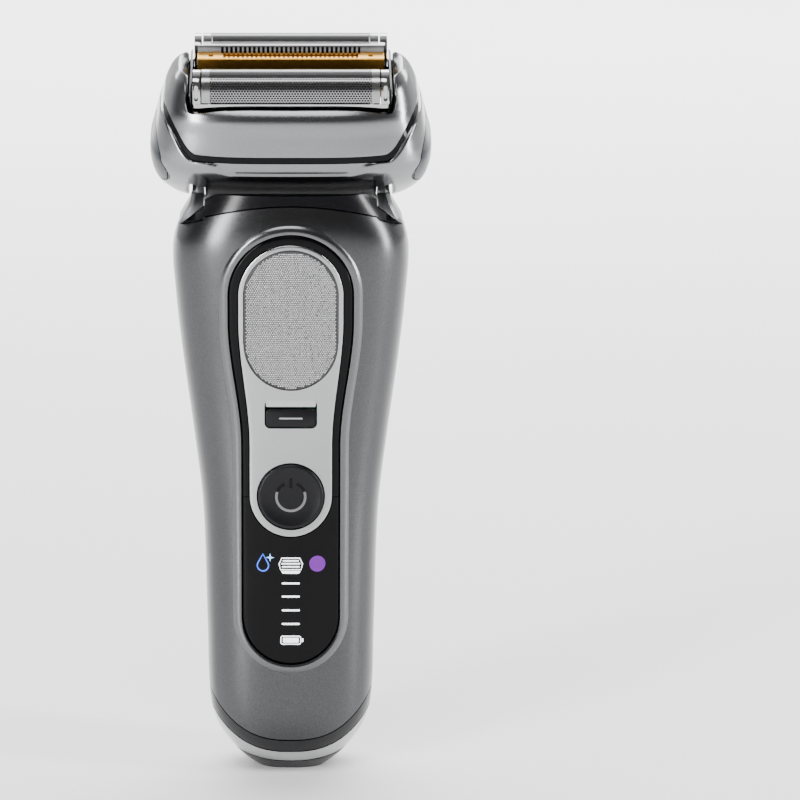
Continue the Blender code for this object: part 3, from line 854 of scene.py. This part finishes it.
def make_grip():
    """The silver plate with its pad pocket, lock window and button well, and the woven metal pad."""
    plate = panel(PLATE, PLATE_EDGE, 1.5)
    pocket = prism(console_outline(*widened(PAD, 0.1)), "y", -30, 5)
    lock = prism(rounded(LOCK_HALF, LOCK_LOW, LOCK_HIGH, 1.2, 8), "y", -30, 5)
    well = rod((0, -30, BUTTON_CENTRE), (0, 5, BUTTON_CENTRE), BUTTON_RADIUS, 96)
    cut(plate, pocket, lock, well)
    piece(plate, "grip_plate_skin", "plate", "handle", ["grip_plate"])
    # The base under the bumps carries painted shade for the crevices; the bumps carry the pad metal.
    piece(panel(PAD, PAD_EDGE, 1.3), "grip_pad_base", "pad_base", "handle", ["grip_pad"])
    piece(pad_bumps(), "grip_pad_weave", "pad", "handle", sharp=70)


def stroke(points, width, low, high, closed=False):
    """A thin raised line through (x, z) points, between two levels along Y."""
    count = len(points)
    left, right = [], []
    for i, (x, z) in enumerate(points):
        before = points[i - 1] if i or closed else points[i]
        after = points[(i + 1) % count] if i < count - 1 or closed else points[i]
        dx, dz = after[0] - before[0], after[1] - before[1]
        length = math.hypot(dx, dz) or 1.0
        nx, nz = -dz / length * width / 2, dx / length * width / 2
        left.append((x + nx, z + nz))
        right.append((x - nx, z - nz))
    verts, faces = [], []
    for (lx, lz), (rx, rz) in zip(left, right):
        verts += [(lx, high(lx, lz), lz), (rx, high(rx, rz), rz)]
        verts += [(rx, low(rx, rz), rz), (lx, low(lx, lz), lz)]
    steps = count if closed else count - 1
    for i in range(steps):
        a, b = 4 * i, 4 * ((i + 1) % count)
        for k in range(4):
            m = (k + 1) % 4
            faces.append((a + k, a + m, b + m, b + k))
    if not closed:
        end = 4 * (count - 1)
        faces += [(0, 1, 2, 3), (end, end + 1, end + 2, end + 3)]
    return from_faces(verts, faces)


def patch(points, low, high):
    """A thin raised filled outline of (x, z) points."""
    count = len(points)
    verts = [(x, high(x, z), z) for x, z in points] + [(x, low(x, z), z) for x, z in points]
    faces = [tuple(range(count)), tuple(range(count, 2 * count))]
    for i in range(count):
        j = (i + 1) % count
        faces.append((i, j, count + j, count + i))
    return from_faces(verts, faces)


def make_power_button():
    """A satin button with a rolled rim and a raised on-off symbol."""
    front = along(HANDLE, BUTTON_CENTRE)[1] - BUTTON_PROUD
    outer = BUTTON_RADIUS - BUTTON_PLAY
    profile = [(outer, BUTTON_BACK), (outer, front + 0.7)]
    profile += [(outer - inward, front + back) for inward, back in BUTTON_RIM]
    profile += [(radius, front + back) for radius, back in BUTTON_DISH]
    button = turned(profile)
    for vert in button.data.vertices:
        vert.co.z += BUTTON_CENTRE * MM
    piece(button, "power_button_cap", "satin_black", "power_button", ["power_button"])

    def low(x, z):
        return front + 0.5

    def high(x, z):
        return front + 0.27

    bars = []
    for start, end in ((115, 155), (25, 65)):
        turn = arc((0, BUTTON_CENTRE), SYMBOL_RADIUS, start, end, 14)
        bars.append(stroke(turn, SYMBOL_LINE, low, high))
    stem = [(0, BUTTON_CENTRE + 2.0), (0, BUTTON_CENTRE + 4.3)]
    bars.append(stroke(stem, SYMBOL_LINE, low, high))
    piece(merge(*bars), "power_symbol", "gloss", "power_button")
    sweep = stroke(arc((0, BUTTON_CENTRE), SYMBOL_RADIUS, 160, 380, 40), 0.55, low, high)
    piece(sweep, "power_symbol_arc", "symbol", "power_button")


def make_lock():
    """The dark lock slider with a thin light line across it."""
    outline = rounded(LOCK_HALF - 0.3, LOCK_LOW + 0.3, LOCK_HIGH - 2.1, 0.9, 8)
    tab = softened(prism(outline, "y", -13.55, -12.5), 0.18)
    piece(tab, "lock_tab", "satin_black", "lock_slider", ["lock_slider"])

    def low(x, z):
        return -13.5

    def high(x, z):
        return -13.6

    middle = (LOCK_LOW + LOCK_HIGH - 1.8) / 2
    mark = patch(rounded(2.6, middle - 0.17, middle + 0.17, 0.16), low, high)
    piece(mark, "lock_mark", "plate", "lock_slider")


def make_marks():
    """Generic display symbols: drop and star, shaver head, disc, four bars and a battery."""

    def low(x, z):
        return front_y(x, z) - 0.05

    def high(x, z):
        return front_y(x, z) - 0.15

    def show(shapes, name, finish):
        piece(merge(*shapes), name, finish, "handle")

    bars = [patch(rounded(2.0, z - 0.2, z + 0.2, 0.19), low, high) for z in (45.0, 42.0, 38.9, 35.8)]
    show(bars, "display_bars", "mark_white")

    battery = [stroke(rounded(2.2, 31.2, 33.0, 0.4, 4), 0.22, low, high, True)]
    battery.append(patch(rounded(1.75, 31.55, 32.65, 0.15), low, high))
    battery.append(patch(rounded(0.2, 31.7, 32.5, 0.12, middle=2.6), low, high))
    show(battery, "display_battery", "mark_white")

    head = [(-2.3, 48.1), (-2.6, 49.4), (-2.0, 50.7), (2.0, 50.7), (2.6, 49.4), (2.3, 48.1)]
    shapes = [stroke(head, 0.24, low, high, True)]
    for z, half in ((48.75, 2.0), (49.45, 2.1), (50.1, 1.8)):
        shapes.append(patch(rounded(half, z - 0.16, z + 0.16, 0.15), low, high))
    shapes.append(patch([(-1.8, 47.2), (1.8, 47.2), (2.2, 47.8), (-2.2, 47.8)], low, high))
    show(shapes, "display_head", "mark_white")

    cx, cz = -6.2, 49.0
    drop = [(cx + x, cz + z) for x, z in arc((0, 0), 1.25, 150, 390, 28)] + [(cx, cz + 2.6)]
    show([stroke(drop, 0.3, low, high, True)], "display_drop", "mark_blue")
    star = []
    for k in range(8):
        reach = 0.95 if k % 2 == 0 else 0.28
        angle = math.tau * k / 8
        star.append((-4.6 + reach * math.cos(angle), 50.8 + reach * math.sin(angle)))
    show([patch(star, low, high)], "display_star", "mark_pale")
    show([patch(arc((5.9, 49.4), 1.8, 0, 354, 59), low, high)], "display_disc", "mark_purple")


# ---------------------------------------------------------------- base


def make_base():
    """The black band, the bright ring and the end cap, divided by curved edges."""
    def between(top, bottom, name, finish, node):
        body = cut(handle_envelope(), handle_envelope(WALL, 48, 9, 1.5, 60))
        keep(body, prism(under(top, 24, -6), "y", -30, 30))
        cut(body, prism(under(raised(bottom, GAP), 24, -8), "y", -30, 30))
        piece(body, name, finish, "handle", [node])

    between(shell_foot, ring_top, "base_band_skin", "band", "base_band")
    between(ring_top, cap_top, "base_ring_skin", "chrome", "base_ring")
    cap = keep(handle_envelope(), prism(under(cap_top, 24, -6), "y", -30, 30))
    cut(cap, slab(SOCKET_HALF[0] + 0.2, SOCKET_HALF[1] + 0.2, -5, 10))
    piece(cap, "end_cap_skin", "cap", "handle", ["end_cap"])


def make_rear_trimmer():
    """The pop-up trimmer's ribbed slider and its toothed comb."""
    slider = prism(rounded(TRIMMER_HALF, 72, 110, 2, 8), "y", 12.1, 16.9)
    cut(slider, box((-6.5, 12.6, 100), (6.5, 15.0, 112)))
    for z in (76, 78.4, 80.8, 83.2, 85.6):
        cut(slider, prism(rounded(6, z, z + 1.2, 0.5), "y", 16.4, 18))
    softened(slider, 0.25)
    piece(slider, "rear_trimmer_slider", "dark", "rear_trimmer", ["trimmer_slider"])
    comb = box((-8.2, 15.4, 110.4), (8.2, 16.3, 123.5))
    for i in range(15):
        x = -7.35 + 1.05 * i
        cut(comb, box((x - 0.22, 15, 121.6), (x + 0.22, 17, 125)))
    piece(comb, "rear_trimmer_comb", "steel", "rear_trimmer", ["trimmer_comb"])


# ---------------------------------------------------------------- head


def polar(half_x, half_y, power, angle):
    c, s = abs(math.cos(angle)), abs(math.sin(angle))
    return ((c / half_x) ** power + (s / half_y) ** power) ** (-1 / power)


HEAD_ANGLES = [math.atan2(y, x) for x, y, _ in superellipse(31, -18, 18, 0, HEAD_POWER, 176)]


def head_reach(angle, height, inset=0.0):
    half, depth = along(HEAD, height)
    inset += HEAD_SKIN
    return polar(half - inset, depth - inset, HEAD_POWER, angle)


def window_reach(angle):
    return polar(*WINDOW_HALF, WINDOW_POWER, angle)


def at(angle, reach, height):
    return reach * math.cos(angle), reach * math.sin(angle), height


def parted(angle, by):
    """The parting line's height in a direction from the axis; the gap round it grows at the corners."""
    height = 5.0
    for _ in range(12):
        x = abs(head_reach(angle, height) * math.cos(angle))
        height = parting(x) + by * (1 + 0.75 * smoothstep((x - 20) / 5))
    return height


def rim_height(angle):
    """How high the frame rises before it meets the window's edge."""
    wanted = window_reach(angle) + 0.6
    low, high = 10.0, HEAD[-1][0]
    if head_reach(angle, high) >= wanted:
        return high
    for _ in range(30):
        middle = (low + high) / 2
        if head_reach(angle, middle) >= wanted:
            low = middle
        else:
            high = middle
    return low


def head_envelope(inset=0.0, count=176, most=0.8):
    rings = []
    for height in heights(HEAD, most, HEAD[0][0], HEAD[-1][0]):
        half, depth = [value - inset - HEAD_SKIN for value in along(HEAD, height)]
        rings.append(superellipse(half, -depth, depth, height, HEAD_POWER, count))
    return through(rings)


def make_head_frame():
    """The head's upper wall, from its parting edge up to a bevelled rim and down inside the window."""
    lows = [parted(angle, 0.8) for angle in HEAD_ANGLES]
    tops = [rim_height(angle) for angle in HEAD_ANGLES]
    steps = 34
    rings = []
    for inset, lift in ((1.6, 0.0), (0.28, 0.0), (0.1, 0.06), (0.0, 0.25)):
        ring = []
        for a, low in zip(HEAD_ANGLES, lows):
            height = low + lift
            ring.append(at(a, head_reach(a, height, inset), height))
        rings.append(ring)
    for k in range(1, steps + 1):
        ring = []
        for a, low, top in zip(HEAD_ANGLES, lows, tops):
            height = low + 0.25 + (top - low - 0.25) * k / steps
            ring.append(at(a, head_reach(a, height), height))
        rings.append(ring)
    for across, drop in ((0.12, -0.02), (0.3, 0.06), (0.85, 0.42), (0.97, 0.56), (1.0, 0.75)):
        ring = []
        for a, top in zip(HEAD_ANGLES, tops):
            outer, inner = head_reach(a, top), window_reach(a)
            reach = outer + (inner - outer) * across
            ring.append(at(a, reach, top - drop * (outer - inner)))
        rings.append(ring)
    rings.append([at(a, window_reach(a), 12.2) for a in HEAD_ANGLES])
    body = through(rings, True)
    piece(body, "head_frame_skin", "head", "head", ["head_frame"], head=True)


def ledge(angle, height):
    """How far the recess across the front of the lower shell goes in."""
    x = abs(head_reach(angle, height) * math.cos(angle))
    if math.sin(angle) > 0:
        return 0.0
    across = 1 - smoothstep((x - 17.0) / 1.4)
    floor = -0.9 + 2.6 * smoothstep((x - 13.0) / 4.5)
    return 0.5 * across * smoothstep((height - floor) / 0.55)


def make_head_lower():
    """The head's lower wall, with slots for the yoke arms and holes for the release buttons."""
    tops = [parted(angle, -0.8) for angle in HEAD_ANGLES]
    bottom = HEAD[0][0]
    steps = 54
    rings = []
    for k in range(steps):
        ring = []
        for a, top in zip(HEAD_ANGLES, tops):
            height = bottom + (top - 0.25 - bottom) * k / (steps - 1)
            ring.append(at(a, head_reach(a, height, ledge(a, height)), height))
        rings.append(ring)
    for inset, drop in ((0.1, 0.06), (0.28, 0.0), (HEAD_WALL, 0.0)):
        ring = []
        for a, top in zip(HEAD_ANGLES, tops):
            height = top - drop
            ring.append(at(a, head_reach(a, height, max(inset, ledge(a, height))), height))
        rings.append(ring)
    for k in range(12):
        ring = []
        for a, top in zip(HEAD_ANGLES, tops):
            height = top - 0.3 + (-11.4 - top + 0.3) * k / 11
            ring.append(at(a, head_reach(a, height, HEAD_WALL), height))
        rings.append(ring)
    lower = through(rings)
    for side in (-1, 1):
        ends = sorted((18.8 * side, 22.5 * side))
        cut(lower, box((ends[0], -12.4, -16), (ends[1], 12.4, -4)))
        cut(lower, button_prism(side, GAP, 23))
    nodes = ["head_lower_shell"]
    piece(lower, "head_lower_skin", "head", "head", nodes, head=True)


def make_head_gap():
    """The gloss band that fills the gap round the parting line."""
    rings = []
    for inset, by in ((2.2, -0.74), (0.6, -0.74), (0.4, -0.6), (0.4, 0.6), (0.6, 0.74), (2.2, 0.74)):
        ring = []
        for a in HEAD_ANGLES:
            height = parted(a, by)
            ring.append(at(a, head_reach(a, height, inset), height))
        rings.append(ring)
    gap = through(rings, True)
    piece(gap, "head_gap_skin", "gloss", "head", ["head_gap_ring"], head=True)


def button_prism(side, extra, inner):
    """The release button's ellipse, run out sideways from an inner distance."""
    half_y, half_z = BUTTON_HALF
    outline = []
    for i in range(72):
        angle = math.tau * i / 72
        y = (half_y + extra) * math.cos(angle)
        outline.append((y, BUTTON_MIDDLE + (half_z + extra) * math.sin(angle)))
    return prism(outline, "x", *sorted((inner * side, 40 * side)))


def make_release(side, name):
    button = keep(button_prism(side, 0, 27.2), head_envelope(0.0))
    softened(button, 0.2, 2, 50)
    body = "release_" + name
    piece(button, body, "button", body, ["release_button_" + name], head=True)


# ---------------------------------------------------------------- cassette


def wrapped(middle, radius, x, run):
    """A place on a foil's arch from its distance along the arch."""
    quarter = math.pi / 2 * FOIL_RADIUS
    if abs(run) <= quarter:
        angle = run / FOIL_RADIUS
        return x, middle + radius * math.sin(angle), FOIL_CENTRE + radius * math.cos(angle)
    return x, middle + math.copysign(radius, run), FOIL_CENTRE - (abs(run) - quarter)


def foil_mesh(middle):
    """A thin sheet of six-sided cells, each with a hole through it, bent over the arch."""
    outer, inner = FOIL_RADIUS - 0.03, FOIL_RADIUS - 0.23
    reach = math.pi / 2 * FOIL_RADIUS + FOIL_CENTRE - FOIL_FOOT
    row_step = FOIL_PITCH * math.sqrt(3) / 2
    cell = FOIL_PITCH / math.sqrt(3)
    rows = int(reach / row_step)
    columns = int(FOIL_PLAIN / FOIL_PITCH)
    points, faces = [], []
    for j in range(-rows, rows + 1):
        for i in range(-columns, columns + 1 - j % 2):
            x = (i + (j % 2) / 2) * FOIL_PITCH
            run = j * row_step
            start = len(points)
            for radius, size in ((outer, cell), (outer, FOIL_HOLE), (inner, FOIL_HOLE)):
                for k in range(6):
                    angle = math.tau * (k + 0.5) / 6
                    u, v = x + size * math.cos(angle), run + size * math.sin(angle)
                    v = min(max(v, -reach), reach)
                    points.append(wrapped(middle, radius, u, v))
            for level in (0, 6):
                for k in range(6):
                    m = (k + 1) % 6
                    a, b = start + level + k, start + level + m
                    faces.append((a, b, b + 6, a + 6))
    return from_faces(points, faces)


def arch(middle, radius, foot, steps=40):
    """A round-topped outline with straight legs, centred on a foil."""
    top = arc((middle, FOIL_CENTRE), radius, 0, 180, steps)
    return top + [(middle - radius, foot), (middle + radius, foot)]


def make_foil(side, name):
    """A perforated foil with plain ends, in a bright carrier with an arched bracket at each end."""
    middle = FOIL_OFFSET * side
    sheet = foil_mesh(middle)
    ends = []
    for way in (-1, 1):
        span = sorted((FOIL_HALF * way, (FOIL_PLAIN - 0.1) * way))
        strip = prism(arch(middle, FOIL_RADIUS - 0.03, FOIL_FOOT), "x", *span)
        inside = prism(arch(middle, FOIL_RADIUS - 0.3, 10), "x", -40, 40)
        ends.append(cut(strip, inside))
    body = name + "_foil"
    sheet = merge(sheet, *ends)
    piece(sheet, name + "_foil_sheet", "foil", body, [body], head=True, sharp=50)

    carrier = prism(arch(middle, FOIL_RADIUS - 0.1, 14.4), "x", -CARRIER_HALF, CARRIER_HALF)
    cut(carrier, slab(FOIL_HALF + GAP, 6, 14.5, 25, y=middle))
    for way in (-1, 1):
        recess = prism(rounded(0.42, 15.2, 18.6, 0.4, 6, 20.5 * way), "y", middle - 6, middle - 2.9)
        cut(carrier, recess)
    skirt = rounded(21.3, middle - FOIL_RADIUS, middle + FOIL_RADIUS, 0.8, 6)
    join(carrier, prism(skirt, "z", 13.6, 14.5))
    join(carrier, slab(CARRIER_HALF, 3.3, 12.2, 13.9, y=middle))
    cut(carrier, slab(18.9, 3.8, 13.9, 20, y=middle))
    cut(carrier, slab(6.0, 2.7, 10, 14.5, y=middle))
    softened(carrier, 0.16, 2, 50)
    piece(carrier, name + "_foil_ends", "chrome", body, [body + "_carrier"], True)


def make_centre():
    """The gold trimmer with its toothed slot, and the slotted skin guard behind it."""
    outline = [(0, 12.6), (3.1, 12.6), (3.1, 18.8), (2.9, 19), (0.2, 19), (0, 18.8)]
    comb = prism(outline, "x", -TRIM_HALF, TRIM_HALF)
    cut(comb, box((-18.5, 0.8, 10), (18.5, 2.3, 18.2)))
    cut(comb, box((-14.8, 1.15, 17), (14.8, 1.95, 20)))
    for i in range(30):
        x = -14.5 + i
        cut(comb, box((x - 0.26, 0.45, 18.3), (x + 0.26, 2.65, 20)))
    for way in (-1, 1):
        cut(comb, box((17.5 * way - 0.5, 1.0, 18.6), (17.5 * way + 0.5, 2.1, 20)))
    nodes = ["lift_trimmer_comb"]
    piece(comb, "lift_trimmer_face", "gold", "lift_trimmer", nodes, head=True)
    outline = [(3.4, 12.4), (4.45, 12.4), (4.45, 20.2), (4.35, 20.3), (4.1, 20.3), (3.4, 18.6)]
    guard = prism(outline, "x", -TRIM_HALF, TRIM_HALF)
    for i in range(31):
        x = -15.0 + i
        cut(guard, box((x - 0.27, 3, 16.6), (x + 0.27, 6, 19.95)))
    piece(guard, "skin_guard_bar", "foil", "skin_guard", ["skin_guard"], head=True)
    # A near-black sheet behind the guard's slots: painted shade for the dark seen through them.
    slot_shade = box((-15.4, 4.15, 16.4), (15.4, 4.4, 20.0))
    piece(slot_shade, "skin_guard_slot_shade", "cutter", "skin_guard", head=True)


def make_cassette():
    half_x, half_y = CASSETTE_HALF
    frame_body = prism(rounded(half_x, -half_y, half_y, 2.7, 8), "z", CASSETTE_FLOOR, CASSETTE_SIDE_TOP)
    cut(frame_body, slab(21.6, 12.7, CASSETTE_FLOOR + 1, 20))
    cut(frame_body, slab(21.6, 20, 10.8, 20))
    for side in (-1, 1):
        cut(frame_body, slab(5.0, 2.7, 0, 12, y=FOIL_OFFSET * side))
    softened(frame_body, 0.15, 2, 50)
    nodes = ["cassette_frame"]
    piece(frame_body, "cassette_body", "gloss", "cassette", nodes, head=True)


# ---------------------------------------------------------------- studio


def plane(name, corners, colour):
    mesh = bpy.data.meshes.new(name)
    mesh.from_pydata(corners, [], [(0, 1, 2, 3)])
    obj = bpy.data.objects.new(name, mesh)
    bpy.context.scene.collection.objects.link(obj)
    finish = look(name, colour, metallic=0.0, roughness=0.6, grain=4, shade=0.01)
    mesh.materials.append(finish)


def light(name, place, target, size, power):
    data = bpy.data.lights.new(name, "AREA")
    data.shape = "RECTANGLE"
    data.size, data.size_y = size
    data.energy = power
    obj = bpy.data.objects.new(name, data)
    obj.location = place
    obj.rotation_euler = (Vector(target) - Vector(place)).to_track_quat("-Z", "Y").to_euler()
    bpy.context.scene.collection.objects.link(obj)


def make_studio():
    """A pale floor, soft boxes, a world that is brighter behind the object, and the camera."""
    reach = 12
    corners = [(-reach, -reach, 0), (reach, -reach, 0), (reach, reach, 0), (-reach, reach, 0)]
    plane("floor", corners, (0.9, 0.9, 0.9))
    world = bpy.data.worlds.new("studio")
    bpy.context.scene.world = world
    world.use_nodes = True
    nodes, links = world.node_tree.nodes, world.node_tree.links
    background = nodes["Background"]
    place = nodes.new("ShaderNodeTexCoord")
    split = nodes.new("ShaderNodeSeparateXYZ")
    fade = nodes.new("ShaderNodeMapRange")
    fade.interpolation_type = "SMOOTHSTEP"
    fade.inputs["From Min"].default_value = -0.2
    fade.inputs["From Max"].default_value = 0.6
    fade.inputs["To Min"].default_value = 0.16
    fade.inputs["To Max"].default_value = 1.3
    links.new(place.outputs["Generated"], split.inputs["Vector"])
    links.new(split.outputs["Y"], fade.inputs["Value"])
    links.new(fade.outputs["Result"], background.inputs["Strength"])
    background.inputs["Color"].default_value = (1, 1, 1, 1)
    light("left_box", (-0.60, -0.70, 0.25), (0, 0, 0.09), (0.20, 0.8), 14.0)
    light("right_strip", (0.80, -0.25, 0.30), (0, 0, 0.09), (0.10, 0.8), 9.0)
    light("top_box", (-0.1, -0.45, 0.9), (0, 0, 0.14), (0.5, 0.3), 3.0)
    light("back_box", (0.2, 1.5, 1.2), (0.2, 1.7, 0), (3.0, 1.6), 150)

    aim = Vector((0, 0, 0.0836))
    distance, elevation = 0.9, math.radians(12)
    camera = bpy.data.cameras.new("camera")
    camera.lens = 180.9
    camera.shift_x = 0.1365
    obj = bpy.data.objects.new("camera", camera)
    obj.location = aim + distance * Vector((0, -math.cos(elevation), math.sin(elevation)))
    obj.rotation_euler = (aim - obj.location).to_track_quat("-Z", "Y").to_euler()
    bpy.context.scene.collection.objects.link(obj)
    bpy.context.scene.camera = obj


paint_frame()
make_shells()
make_neck()
make_arm(-1, "left")
make_arm(1, "right")
make_console()
make_grip()
make_power_button()
make_lock()
make_marks()
make_base()
make_rear_trimmer()
make_head_frame()
make_head_lower()
make_head_gap()
make_release(-1, "left")
make_release(1, "right")
make_cassette()
make_foil(-1, "front")
make_foil(1, "rear")
make_centre()
make_studio()
